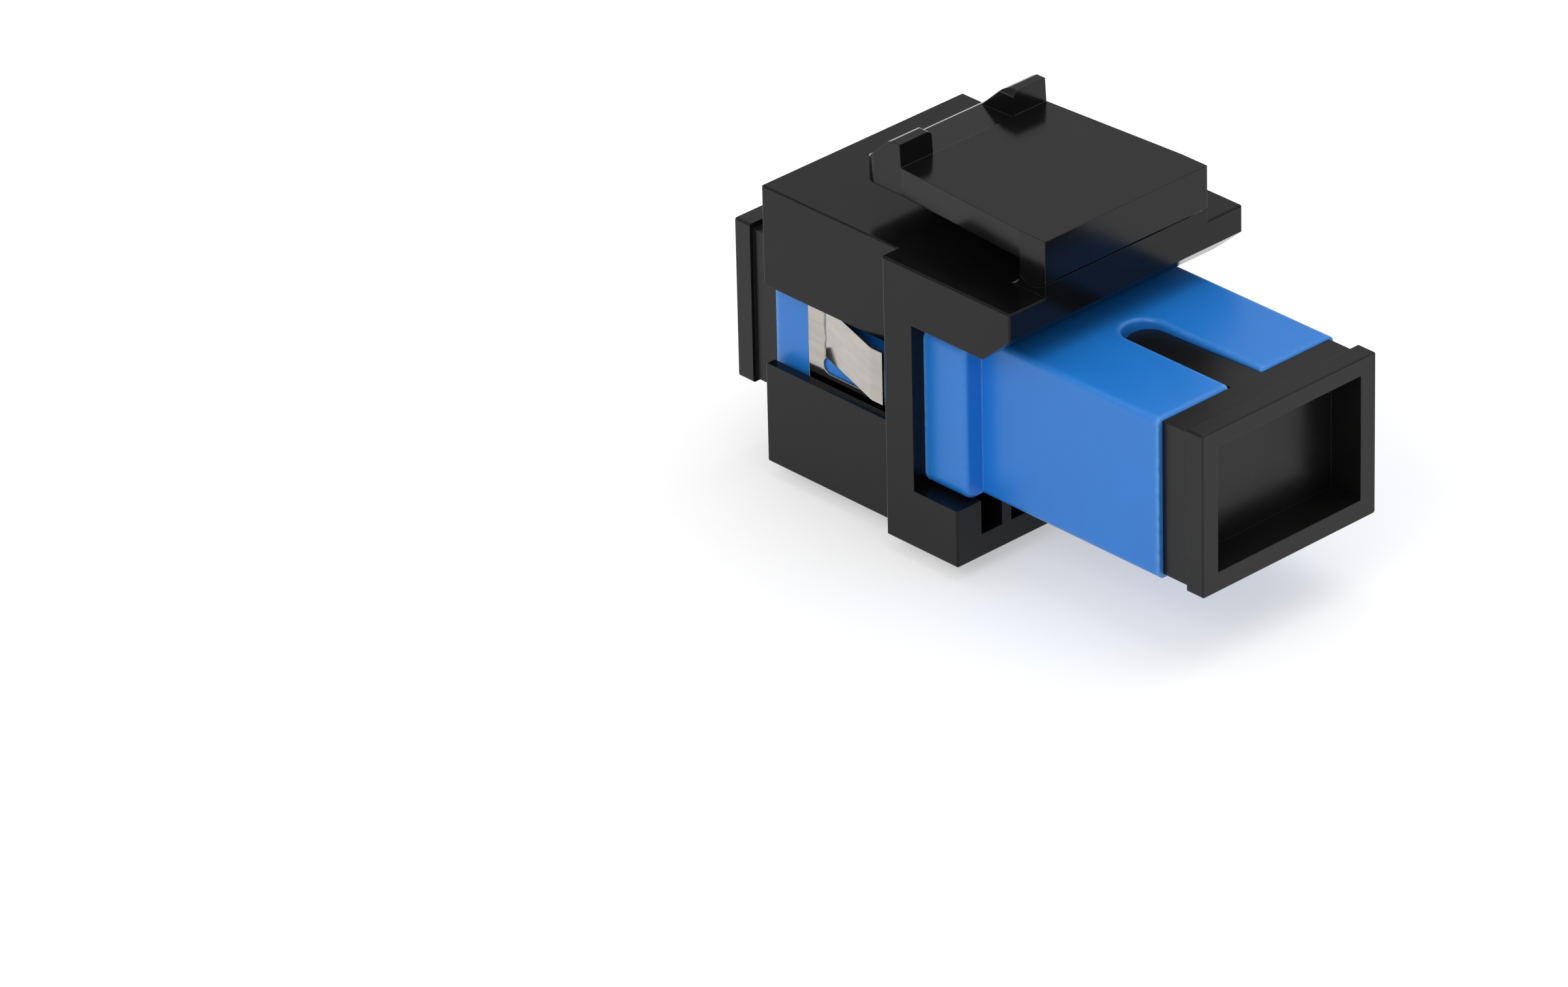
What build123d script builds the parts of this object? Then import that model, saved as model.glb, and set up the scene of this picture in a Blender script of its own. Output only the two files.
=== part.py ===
from build123d import *
from math import sqrt
import os

os.makedirs("parts", exist_ok=True)

# Axes: X to the right seen from the room side, Y to the cable side, Z up.
# The origin is on the optical axis where the two ferrules meet. Sizes are in millimetres.

# Adapter housing
housing_width = 12.8
housing_height = 9.3
housing_reach = 14.1
housing_edge_radius = 0.35
mouth_edge_radius = 0.3
flange_width = 15.3
flange_thickness = 3.0
flange_front = -1.7
flange_edge_radius = 0.8

# Ports
port_width = 9.05
port_height = 7.45
key_slot_width = 2.4
key_slot_length = 8.55
key_slot_edge_radius = 0.2
hook_relief_depth = 0.6
hook_relief_height = 3.6
hook_relief_start = 2.4
hook_relief_reach = 9.0

# Seat that the two inserts share in the middle of the housing
insert_seat_side_wall = 1.2
insert_seat_top_wall = 0.55
insert_plate_thickness = 1.2
insert_clearance = 0.05

# Latch inserts
holder_outer_diameter = 4.8
holder_bore_diameter = 3.3
holder_lip_bore_diameter = 2.9
holder_lip_length = 0.4
holder_mouth_chamfer = 0.25
hook_reach = 8.2
hook_inner_gap = 6.9
hook_thickness = 0.75
hook_height = 2.6
hook_catch_depth = 0.5
hook_catch_flat = 0.5
hook_catch_ramp = 0.7
hook_root_radius = 0.4

# Split sleeve
sleeve_bore_diameter = 2.5
sleeve_outer_diameter = 3.2
sleeve_length = 11.4
sleeve_slit = 0.5
sleeve_end_clearance = 0.05
sleeve_end_chamfer = 0.12

# Spring clip
clip_thickness = 0.15
clip_bend_radius = 0.3
clip_front = -11.5
clip_rear = -4.5
clip_bottom = -3.7
clip_rear_strip = 0.8
clip_side_clearance = 0.25
clip_top_clearance = 0.2
tongue_bend = -10.2
tongue_tip_gap = 0.5
tongue_height = 3.07
right_tongue_middle = 0.75
left_tongue_middle = 0.0
tongue_shoulder_inset = 0.35
tongue_end_length = 0.85
tongue_end_radius = 1.2
right_tongue_slot = 0.94
left_tongue_slot = 0.52
tongue_slot_overrun = 0.2
locating_boss_length = 1.6
locating_boss_width = 1.0
locating_boss_height = 0.2
locating_boss_spacing = 8.0
locating_boss_y = -8.0
locating_hole_clearance = 0.1

# Keystone frame
body_width = 14.7
body_depth = 10.2
frame_width = 17.0
post_thickness = 2.1
wall_above = 3.3
wall_below = 3.35
bottom_slip_clearance = 0.1
frame_edge_radius = 0.1
arm_edge_radius = 0.12
opening_corner_radius = 0.3
window_top = 2.45
window_bottom = -2.2
window_upper_corner_radius = 0.3
window_lower_corner_radius = 0.2
top_arm_length = 7.25
top_arm_bevel_height = 1.75
top_arm_bevel_length = 2.0
bottom_arm_length = 3.2
pocket_width = 13.55
pocket_depth = 2.0
pocket_rib_spacing = 9.85
pocket_rib_width = 0.65
panel_hook_width = 9.0
panel_hook_drop = 0.9
panel_hook_flat = 0.5
panel_hook_ramp = 0.9
panel_gap = 1.8

# Latch lever
lever_gap = 1.65
lever_thickness = 1.6
lever_nose_width = 10.6
lever_side_taper = 0.6
lever_root_thickness = 1.85
lever_nose_reach = 4.7
lever_nose_drop = 0.42
lever_foot_drop = 0.14
lever_nose_radius = 0.65
lever_brow_radius = 0.1
lever_corner_radius = 0.9
lever_edge_radius = 0.2
root_seat_radius = 1.3
root_clearance = 0.05
root_stub_height = 0.8
root_gap_radius = 0.72
catch_height = 1.32
catch_lean = 0.08
ear_gap = 5.95
ear_flat = 0.6
ear_bevel_run = 0.32
ear_bevel_drop = 0.16
ear_ramp_run = 1.4
ear_foot_radius = 1.1
ear_inner_radius = 0.35
thumb_step = 0.14
thumb_fall = 0.08

# Dust caps
cap_reach = 3.1
cap_block_width = 12.2
cap_block_bottom = -4.4
cap_block_top = 4.5
cap_rim_width = 12.7
cap_rim_bottom = -4.6
cap_rim_top = 4.85
cap_rim_thickness = 1.15
cap_rim_corner_radius = 0.15
cap_edge_radius = 0.08
cap_recess_width = 10.5
cap_recess_height = 7.3
cap_recess_depth = 2.1
cap_recess_middle = 0.2
plug_clearance = 0.08
plug_wall = 0.7
key_rib_overlap = 0.3
key_rib_clearance = 0.1
key_rib_end_gap = 0.3
key_rib_fall = 0.3
hook_slot_clearance = 0.45

# Places that follow from the sizes
housing_top = housing_height / 2
housing_side = housing_width / 2
insert_seat_width = housing_width - 2 * insert_seat_side_wall
insert_seat_height = housing_height - 2 * insert_seat_top_wall
insert_width = insert_seat_width - 2 * insert_clearance
insert_height = insert_seat_height - 2 * insert_clearance
opening_top = housing_top + clip_thickness + clip_top_clearance
opening_bottom = -housing_top - bottom_slip_clearance
opening_width = housing_width + 2 * (clip_thickness + clip_side_clearance)
opening_height = opening_top - opening_bottom
opening_middle = (opening_top + opening_bottom) / 2
frame_top = opening_top + wall_above
frame_bottom = opening_bottom - wall_below
frame_height = frame_top - frame_bottom
frame_middle = (frame_top + frame_bottom) / 2
shoulder = flange_front - post_thickness
body_front = shoulder - body_depth
top_arm_rear = flange_front + top_arm_length
bottom_arm_rear = flange_front + bottom_arm_length
lever_underside = frame_top + lever_gap
lever_top = lever_underside + lever_thickness
catch_face = shoulder - panel_gap
root_front = top_arm_rear - lever_root_thickness
lever_rear_width = lever_nose_width + 2 * lever_side_taper
root_middle = top_arm_rear - lever_root_thickness / 2
root_seat = frame_top + root_stub_height
hinge_height = root_seat + sqrt(root_seat_radius**2 - (lever_root_thickness / 2) ** 2)
nose_front = shoulder - lever_nose_reach
ear_top = lever_top + catch_height
ear_front = catch_face - catch_lean - ear_flat
ear_foot = ear_front - ear_bevel_run - ear_ramp_run
clip_side = housing_side + clip_thickness
clip_top = housing_top + clip_thickness
tongue_tip = shoulder - tongue_tip_gap
tongue_rise = frame_width / 2 - tongue_shoulder_inset - clip_side
tongue_end = tongue_tip - tongue_end_length
cut_rear = clip_rear - clip_rear_strip
key_slot_end = housing_reach - key_slot_length + key_slot_width / 2
plug_inner_end = housing_reach - key_slot_length + key_rib_clearance + key_rib_end_gap
key_rib_radius = key_slot_width / 2 - key_rib_clearance
key_rib_middle = plug_inner_end + key_rib_radius
plug_width = port_width - 2 * plug_clearance
plug_height = port_height - 2 * plug_clearance
holder_reach = sleeve_length / 2 + sleeve_end_clearance + holder_lip_length
ends = (("front", -1), ("rear", 1))
tongues = (
    (1, right_tongue_middle, right_tongue_slot),
    (-1, left_tongue_middle, left_tongue_slot),
)
same_place = 0.001


def section(y):
    """Plane across the adapter at Y = y, facing the room side, with local Y up."""
    return Plane(origin=(0, y, 0), x_dir=(1, 0, 0), z_dir=(0, -1, 0))


def edges_at(builder, axis, x=None, y=None, z=None):
    """Edges along an axis whose middle lies at x to either side, at y and at z."""
    found = builder.edges().filter_by(axis)
    if x is not None:
        found = found.filter_by(lambda edge: abs(abs(edge.center().X) - x) < same_place)
    if y is not None:
        found = found.filter_by(lambda edge: abs(edge.center().Y - y) < same_place)
    if z is not None:
        found = found.filter_by(lambda edge: abs(edge.center().Z - z) < same_place)
    return found


def port_plane(side, reach):
    """Plane across one port, reach from the middle, facing out of that port."""
    return Plane(origin=(0, side * reach, 0), x_dir=(-side, 0, 0), z_dir=(0, side, 0))


# Keystone frame: shoulder post with the two arms behind it and the narrow body before it
with BuildPart() as keystone_frame:
    with BuildSketch(Plane.YZ):
        with BuildLine():
            Polyline(
                (shoulder, frame_top),
                (top_arm_rear, frame_top),
                (top_arm_rear, opening_top + top_arm_bevel_height),
                (top_arm_rear - top_arm_bevel_length, opening_top),
                (flange_front, opening_top),
                (flange_front, opening_bottom),
                (bottom_arm_rear, opening_bottom),
                (bottom_arm_rear, frame_bottom),
                (shoulder, frame_bottom),
                close=True,
            )
        make_face()
    extrude(amount=frame_width / 2, both=True)
    rounded_edges = (
        edges_at(keystone_frame, Axis.Y, x=frame_width / 2, z=frame_top)
        + edges_at(keystone_frame, Axis.Y, x=frame_width / 2, z=frame_bottom)
        + edges_at(keystone_frame, Axis.Z, x=frame_width / 2, y=shoulder)
        + edges_at(keystone_frame, Axis.Z, x=frame_width / 2, y=top_arm_rear)
        + edges_at(keystone_frame, Axis.Z, x=frame_width / 2, y=bottom_arm_rear)
        + edges_at(keystone_frame, Axis.X, y=bottom_arm_rear, z=frame_bottom)
        + edges_at(keystone_frame, Axis.X, y=top_arm_rear, z=frame_top)
    )
    fillet(rounded_edges, arm_edge_radius)
    with BuildSketch(section(flange_front)):
        with Locations((0, frame_middle)):
            RectangleRounded(body_width, frame_height, frame_edge_radius)
    extrude(amount=flange_front - body_front)
    fillet(edges_at(keystone_frame, Axis.X, y=body_front, z=frame_bottom), frame_edge_radius)

    # Opening for the adapter, right through body and post
    with BuildSketch(section(flange_front)):
        with Locations((0, opening_middle)):
            RectangleRounded(opening_width, opening_height, opening_corner_radius)
    extrude(amount=flange_front - body_front, mode=Mode.SUBTRACT)

    # Side windows for the tongues of the clip, open at the front face
    upper_bend = (body_front + window_upper_corner_radius, window_top)
    upper_mouth = (body_front, window_top + window_upper_corner_radius)
    lower_bend = (body_front + window_lower_corner_radius, window_bottom)
    lower_mouth = (body_front, window_bottom - window_lower_corner_radius)
    with BuildSketch(Plane.YZ):
        with BuildLine():
            Polyline(lower_bend, (shoulder, window_bottom), (shoulder, window_top), upper_bend)
            RadiusArc(upper_bend, upper_mouth, window_upper_corner_radius)
            Line(upper_mouth, lower_mouth)
            RadiusArc(lower_mouth, lower_bend, window_lower_corner_radius)
        make_face()
    extrude(amount=body_width / 2, both=True, mode=Mode.SUBTRACT)

    # Cored pocket behind the post with the two ribs that carry the adapter
    with BuildSketch(section(bottom_arm_rear)):
        with Locations((0, opening_bottom - pocket_depth / 2)):
            Rectangle(pocket_width, pocket_depth)
            with GridLocations(pocket_rib_spacing, 1, 2, 1):
                Rectangle(pocket_rib_width, pocket_depth, mode=Mode.SUBTRACT)
    extrude(amount=bottom_arm_length, mode=Mode.SUBTRACT)

    # Fixed hook under the body that goes behind the panel's lower edge
    with BuildSketch(Plane.YZ):
        with BuildLine():
            Polyline(
                (catch_face, frame_bottom),
                (catch_face, frame_bottom - panel_hook_drop),
                (catch_face - panel_hook_flat, frame_bottom - panel_hook_drop),
                (catch_face - panel_hook_flat - panel_hook_ramp, frame_bottom),
                close=True,
            )
        make_face()
    extrude(amount=panel_hook_width / 2, both=True)

    # Stub of the lever's root, hollowed to the curve that the root bends on
    with BuildSketch(Plane.YZ):
        with Locations((root_middle, (root_seat + frame_top) / 2 - arm_edge_radius)):
            Rectangle(lever_root_thickness, root_stub_height + 2 * arm_edge_radius)
        with Locations((root_front - root_gap_radius / 2, frame_top + root_gap_radius / 2)):
            Rectangle(root_gap_radius, root_gap_radius)
        with Locations((root_front - root_gap_radius, frame_top + root_gap_radius)):
            Circle(root_gap_radius, mode=Mode.SUBTRACT)
        with Locations((root_middle, hinge_height)):
            Circle(root_seat_radius + root_clearance, mode=Mode.SUBTRACT)
    extrude(amount=lever_rear_width / 2, both=True)
keystone_frame.part.label = "keystone_frame"
export_step(keystone_frame.part, "parts/keystone_frame.step")


# Latch lever: side profile cut to its tapering plan, with two catch ears at the nose
with BuildPart() as latch_lever:
    with BuildSketch(Plane.YZ) as lever_profile:
        with BuildLine():
            ThreePointArc(
                (root_front, root_seat),
                (root_middle, hinge_height - root_seat_radius),
                (top_arm_rear, root_seat),
            )
            Polyline(
                (top_arm_rear, root_seat),
                (top_arm_rear, lever_top),
                (catch_face, lever_top),
                (catch_face - catch_lean, ear_top),
                (ear_front, ear_top),
                (ear_front - ear_bevel_run, ear_top - ear_bevel_drop),
                (ear_foot, lever_top - lever_foot_drop),
                (nose_front, lever_top - lever_nose_drop),
                (nose_front, lever_underside),
                (root_front, lever_underside),
                (root_front, root_seat),
            )
        make_face()
        corners = lever_profile.vertices()
        fillet(corners.sort_by_distance((0, root_front, lever_underside))[0], root_gap_radius)
        fillet(corners.sort_by_distance((0, nose_front, lever_underside))[0], lever_nose_radius)
        nose_brow = (0, nose_front, lever_top - lever_nose_drop)
        fillet(corners.sort_by_distance(nose_brow)[0], lever_brow_radius)
        fillet(corners.sort_by_distance((0, top_arm_rear, lever_top))[0], lever_edge_radius)
        fillet(corners.sort_by_distance((0, ear_foot, lever_top))[0], ear_foot_radius)
    extrude(amount=lever_rear_width / 2, both=True)

    # Plan: tapers from the root to the ears, then runs straight to a round-cornered nose
    with BuildSketch(Plane.XY) as lever_plan:
        with BuildLine():
            Polyline(
                (lever_rear_width / 2, top_arm_rear),
                (lever_rear_width / 2, root_front),
                (lever_nose_width / 2, catch_face),
                (lever_nose_width / 2, nose_front),
                (-lever_nose_width / 2, nose_front),
                (-lever_nose_width / 2, catch_face),
                (-lever_rear_width / 2, root_front),
                (-lever_rear_width / 2, top_arm_rear),
                close=True,
            )
        make_face()
        fillet(lever_plan.vertices().group_by(Axis.Y)[0], lever_corner_radius)
    extrude(amount=2 * lever_top, mode=Mode.INTERSECT)

    # Thumb rest between the ears, falling a little towards the sloping lip of the nose
    with BuildSketch(Plane.YZ):
        with BuildLine():
            Polyline(
                (catch_face, lever_top - thumb_step),
                (catch_face, ear_top),
                (nose_front, ear_top),
                (nose_front, lever_top - thumb_step - thumb_fall),
                close=True,
            )
        make_face()
    extrude(amount=ear_gap / 2, both=True, mode=Mode.SUBTRACT)
    fillet(edges_at(latch_lever, Axis.Y, x=ear_gap / 2, z=ear_top), ear_inner_radius)
latch_lever.part.label = "latch_lever"
export_step(latch_lever.part, "parts/latch_lever.step")


# Housings: a square shell for each port, joined behind the post, with the flange on the rear one
for end, side in ends:
    with BuildPart() as housing:
        if end == "rear":
            with BuildSketch(section(flange_front)):
                RectangleRounded(flange_width, housing_height, flange_edge_radius)
            extrude(amount=-flange_thickness)
            fillet(housing.edges().group_by(Axis.Y)[-1], mouth_edge_radius)
        with BuildSketch(port_plane(side, housing_reach)):
            RectangleRounded(housing_width, housing_height, housing_edge_radius)
        extrude(amount=side * flange_front - housing_reach)
        with BuildSketch(Plane.YZ) as outline:
            with Locations(((flange_front + side * housing_reach) / 2, 0)):
                Rectangle(housing_reach - side * flange_front, housing_height)
            mouth_corners = outline.vertices().group_by(Axis.Y)[-1 if side > 0 else 0]
            fillet(mouth_corners, mouth_edge_radius)
        extrude(amount=flange_width / 2, both=True, mode=Mode.INTERSECT)
        if end == "rear":
            with BuildSketch(section(flange_front)):
                Rectangle(insert_seat_width, insert_seat_height)
            extrude(amount=flange_front - insert_plate_thickness, mode=Mode.SUBTRACT)
        else:
            # Spigot that enters the rear housing and clamps the two inserts
            with BuildSketch(section(-insert_plate_thickness)):
                Rectangle(insert_width, insert_height)
            extrude(amount=-insert_plate_thickness - flange_front)
            with BuildSketch(Plane.XY.offset(housing_top)):
                with Locations((0, locating_boss_y)):
                    with GridLocations(locating_boss_spacing, 1, 2, 1):
                        SlotOverall(locating_boss_length, locating_boss_width)
            extrude(amount=locating_boss_height)

        # Port, with relief beside the hooks and the key slot through its top wall
        with BuildSketch(port_plane(side, housing_reach)):
            Rectangle(port_width, port_height)
        extrude(amount=insert_plate_thickness - housing_reach, mode=Mode.SUBTRACT)
        with BuildSketch(port_plane(side, hook_relief_reach)):
            Rectangle(port_width + 2 * hook_relief_depth, hook_relief_height)
        extrude(amount=hook_relief_start - hook_relief_reach, mode=Mode.SUBTRACT)
        with BuildSketch(Plane.XY):
            with Locations((0, side * (key_slot_end + housing_reach) / 2)):
                Rectangle(key_slot_width, housing_reach - key_slot_end)
            with Locations((0, side * key_slot_end)):
                Circle(key_slot_width / 2)
        extrude(amount=housing_height, mode=Mode.SUBTRACT)
        slot_edges = housing.edges().filter_by(
            lambda edge: abs(edge.center().Z - housing_top) < same_place
            and abs(edge.center().X) < key_slot_width
        )
        fillet(slot_edges, key_slot_edge_radius)
    housing.part.label = f"{end}_housing"
    export_step(housing.part, f"parts/{end}_housing.step")


# Latch inserts: a plate with half of the sleeve holder and two hooks, one for each port
for end, side in ends:
    with BuildPart() as latch_insert:
        with BuildSketch(port_plane(side, insert_plate_thickness)):
            Rectangle(insert_width, insert_height)
        extrude(amount=-insert_plate_thickness)
        with BuildSketch(port_plane(side, holder_reach)):
            Circle(holder_outer_diameter / 2)
        extrude(amount=-holder_reach)
        with BuildSketch(port_plane(side, holder_reach)):
            Circle(holder_lip_bore_diameter / 2)
        extrude(amount=-holder_reach, mode=Mode.SUBTRACT)
        mouth = latch_insert.edges().filter_by(GeomType.CIRCLE).group_by(Axis.Y)
        chamfer(mouth[-1 if side > 0 else 0].sort_by(SortBy.RADIUS)[0], holder_mouth_chamfer)
        with BuildSketch(port_plane(side, holder_reach - holder_lip_length)):
            Circle(holder_bore_diameter / 2)
        extrude(amount=holder_lip_length - holder_reach, mode=Mode.SUBTRACT)

        # Hooks with a square catch towards the plate and a ramp towards the port
        for hand in (-1, 1):
            inner = hook_inner_gap / 2
            with BuildSketch(Plane.XY):
                with BuildLine():
                    Polyline(
                        (hand * inner, 0),
                        (hand * inner, side * (hook_reach - hook_catch_ramp - hook_catch_flat)),
                        (
                            hand * (inner - hook_catch_depth),
                            side * (hook_reach - hook_catch_ramp - hook_catch_flat),
                        ),
                        (hand * (inner - hook_catch_depth), side * (hook_reach - hook_catch_ramp)),
                        (hand * inner, side * hook_reach),
                        (hand * (inner + hook_thickness), side * hook_reach),
                        (hand * (inner + hook_thickness), 0),
                        close=True,
                    )
                make_face()
            extrude(amount=hook_height / 2, both=True)
            roots = edges_at(latch_insert, Axis.Z, y=side * insert_plate_thickness)
            fillet(roots.filter_by(lambda edge: edge.center().X * hand > 0), hook_root_radius)
    latch_insert.part.label = f"{end}_latch_insert"
    export_step(latch_insert.part, f"parts/{end}_latch_insert.step")


# Split sleeve that lines up the two ferrules
with BuildPart() as alignment_sleeve:
    with BuildSketch(section(sleeve_length / 2)):
        Circle(sleeve_outer_diameter / 2)
        Circle(sleeve_bore_diameter / 2, mode=Mode.SUBTRACT)
    extrude(amount=sleeve_length)
    chamfer(alignment_sleeve.edges().filter_by(GeomType.CIRCLE), sleeve_end_chamfer)
    with BuildSketch(section(sleeve_length / 2)):
        with Locations((0, sleeve_outer_diameter / 2)):
            Rectangle(sleeve_slit, sleeve_outer_diameter)
    extrude(amount=sleeve_length, mode=Mode.SUBTRACT)
alignment_sleeve.part.label = "alignment_sleeve"
export_step(alignment_sleeve.part, "parts/alignment_sleeve.step")


# Spring clip: folded over the front housing, with a tongue sprung out through each window
with BuildPart() as spring_clip:
    with BuildSketch(section(clip_rear)):
        with Locations((0, (clip_top + clip_bottom) / 2)):
            Rectangle(2 * clip_side, clip_top - clip_bottom)
        with Locations((0, (housing_top + clip_bottom) / 2)):
            Rectangle(housing_width, housing_top - clip_bottom, mode=Mode.SUBTRACT)
    extrude(amount=clip_rear - clip_front)
    fillet(edges_at(spring_clip, Axis.Y, x=housing_side, z=housing_top), clip_bend_radius)
    outer_bends = edges_at(spring_clip, Axis.Y, x=clip_side, z=clip_top)
    fillet(outer_bends, clip_bend_radius + clip_thickness)

    # Tongues, each in a cut-out with round ends beside its root
    for hand, tongue_middle, tongue_slot in tongues:
        slot_middle = tongue_bend - tongue_slot_overrun + tongue_slot / 2
        with BuildSketch(Plane.YZ):
            with Locations(((cut_rear + tongue_bend) / 2, tongue_middle)):
                Rectangle(cut_rear - tongue_bend, tongue_height)
            with Locations(((cut_rear + slot_middle) / 2, tongue_middle)):
                Rectangle(cut_rear - slot_middle, tongue_height + 2 * tongue_slot)
            with Locations((slot_middle, tongue_middle)):
                with GridLocations(1, tongue_height + tongue_slot, 1, 2):
                    Circle(tongue_slot / 2)
        extrude(amount=hand * clip_side, mode=Mode.SUBTRACT)
        with BuildSketch(Plane.XY.offset(tongue_middle)) as tongue:
            with BuildLine():
                Polyline(
                    (hand * housing_side, tongue_bend),
                    (hand * clip_side, tongue_bend),
                    (hand * (clip_side + tongue_rise), tongue_end),
                    (hand * (clip_side + tongue_rise), tongue_tip),
                    (hand * (housing_side + tongue_rise), tongue_tip),
                    (hand * (housing_side + tongue_rise), tongue_end),
                    close=True,
                )
            make_face()
            end_bends = tongue.vertices().filter_by(
                lambda corner: abs(corner.Y - tongue_end) < same_place
            )
            fillet(end_bends, tongue_end_radius)
        extrude(amount=tongue_height / 2, both=True)

    # Holes over the two bosses that keep the clip in place on the housing
    with BuildSketch(Plane.XY.offset(housing_top)):
        with Locations((0, locating_boss_y)):
            with GridLocations(locating_boss_spacing, 1, 2, 1):
                SlotOverall(
                    locating_boss_length + 2 * locating_hole_clearance,
                    locating_boss_width + 2 * locating_hole_clearance,
                )
    extrude(amount=clip_thickness, mode=Mode.SUBTRACT)
spring_clip.part.label = "spring_clip"
export_step(spring_clip.part, "parts/spring_clip.step")


# Dust caps: a hollow plug with a key rib, and a rimmed block to pull it out by
for end, side in ends:
    with BuildPart() as dust_cap:
        with BuildSketch(port_plane(side, housing_reach)):
            with Locations((0, (cap_block_top + cap_block_bottom) / 2)):
                Rectangle(cap_block_width, cap_block_top - cap_block_bottom)
        extrude(amount=cap_reach)
        with BuildSketch(port_plane(side, housing_reach + cap_reach)):
            with Locations((0, (cap_rim_top + cap_rim_bottom) / 2)):
                RectangleRounded(
                    cap_rim_width, cap_rim_top - cap_rim_bottom, cap_rim_corner_radius
                )
        extrude(amount=-cap_rim_thickness)
        outer_edges = dust_cap.edges().group_by(Axis.Y)[-1 if side > 0 else 0]
        fillet(outer_edges, cap_edge_radius)
        with BuildSketch(port_plane(side, housing_reach + cap_reach)):
            with Locations((0, cap_recess_middle)):
                Rectangle(cap_recess_width, cap_recess_height)
        extrude(amount=-cap_recess_depth, mode=Mode.SUBTRACT)

        # Plug in the port, hollow and slotted for the hooks
        with BuildSketch(port_plane(side, housing_reach)):
            Rectangle(plug_width, plug_height)
            Rectangle(plug_width - 2 * plug_wall, plug_height - 2 * plug_wall, mode=Mode.SUBTRACT)
        extrude(amount=plug_inner_end - housing_reach)
        with BuildSketch(port_plane(side, hook_reach + hook_slot_clearance)):
            Rectangle(plug_width, hook_height + 2 * hook_slot_clearance)
        extrude(amount=plug_inner_end - hook_reach - hook_slot_clearance, mode=Mode.SUBTRACT)

        # Key rib in the slot of the housing, falling from the top of the block
        with BuildSketch(Plane.XY.offset(plug_height / 2 - key_rib_overlap)):
            with Locations((0, side * (key_rib_middle + housing_reach) / 2)):
                Rectangle(2 * key_rib_radius, housing_reach - key_rib_middle)
            with Locations((0, side * key_rib_middle)):
                Circle(key_rib_radius)
        extrude(amount=cap_block_top - plug_height / 2 + key_rib_overlap)
        with BuildSketch(Plane.YZ):
            with BuildLine():
                Polyline(
                    (side * housing_reach, cap_block_top),
                    (side * plug_inner_end, cap_block_top - key_rib_fall),
                    (side * plug_inner_end, cap_block_top),
                    close=True,
                )
            make_face()
        extrude(amount=key_rib_radius, both=True, mode=Mode.SUBTRACT)
    dust_cap.part.label = f"{end}_dust_cap"
    export_step(dust_cap.part, f"parts/{end}_dust_cap.step")
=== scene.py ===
"""Dresses the packed fibre adapter and sets up the studio it is seen in.

Every size is in metres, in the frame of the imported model: X to the right seen from the room side,
Y towards the cable side, Z up, with the origin on the optical axis where the two ferrules meet.
"""

import logging
import math
from collections.abc import Iterable
from dataclasses import dataclass, field
from enum import Enum
from functools import cached_property

import bmesh
import bpy
from mathutils import Matrix, Vector


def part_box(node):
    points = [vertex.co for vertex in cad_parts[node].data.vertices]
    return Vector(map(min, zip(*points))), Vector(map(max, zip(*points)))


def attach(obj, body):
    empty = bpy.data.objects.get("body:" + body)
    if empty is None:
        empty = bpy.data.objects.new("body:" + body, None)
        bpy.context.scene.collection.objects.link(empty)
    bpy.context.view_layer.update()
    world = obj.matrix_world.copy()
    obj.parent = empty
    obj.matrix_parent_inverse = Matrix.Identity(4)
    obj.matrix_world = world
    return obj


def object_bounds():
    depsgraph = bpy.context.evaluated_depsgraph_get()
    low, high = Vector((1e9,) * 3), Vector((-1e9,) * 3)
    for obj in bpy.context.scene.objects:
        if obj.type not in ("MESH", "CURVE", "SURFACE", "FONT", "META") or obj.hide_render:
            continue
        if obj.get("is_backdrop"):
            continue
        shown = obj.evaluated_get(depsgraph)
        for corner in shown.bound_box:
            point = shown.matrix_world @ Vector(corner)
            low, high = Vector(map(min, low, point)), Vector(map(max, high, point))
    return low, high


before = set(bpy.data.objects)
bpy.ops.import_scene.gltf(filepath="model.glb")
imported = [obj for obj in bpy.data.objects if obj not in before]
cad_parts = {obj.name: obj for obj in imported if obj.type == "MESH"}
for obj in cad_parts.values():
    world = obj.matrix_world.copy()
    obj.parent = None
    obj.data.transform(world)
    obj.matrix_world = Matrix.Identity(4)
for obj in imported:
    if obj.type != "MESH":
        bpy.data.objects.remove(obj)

MM = 0.001
Triple = tuple[float, float, float]
Range = tuple[float, float]
log = logging.getLogger("fibre_adapter")


class Body(Enum):
    """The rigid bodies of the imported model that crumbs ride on."""

    ADAPTER = "adapter"
    FRONT_CAP = "front_cap"
    REAR_CAP = "rear_cap"


class Slot(Enum):
    """Two of the record's material slots, which nothing in this script uses."""

    BLACK = "black_moulding"
    CAP = "cap_moulding"


class Stretch(Enum):
    """How a texture is drawn out along Y, as a scale along X, Y and Z."""

    SCRATCHED = (1.0, 0.05, 1.0)
    ROLLED = (1.0, 0.06, 1.0)


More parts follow.
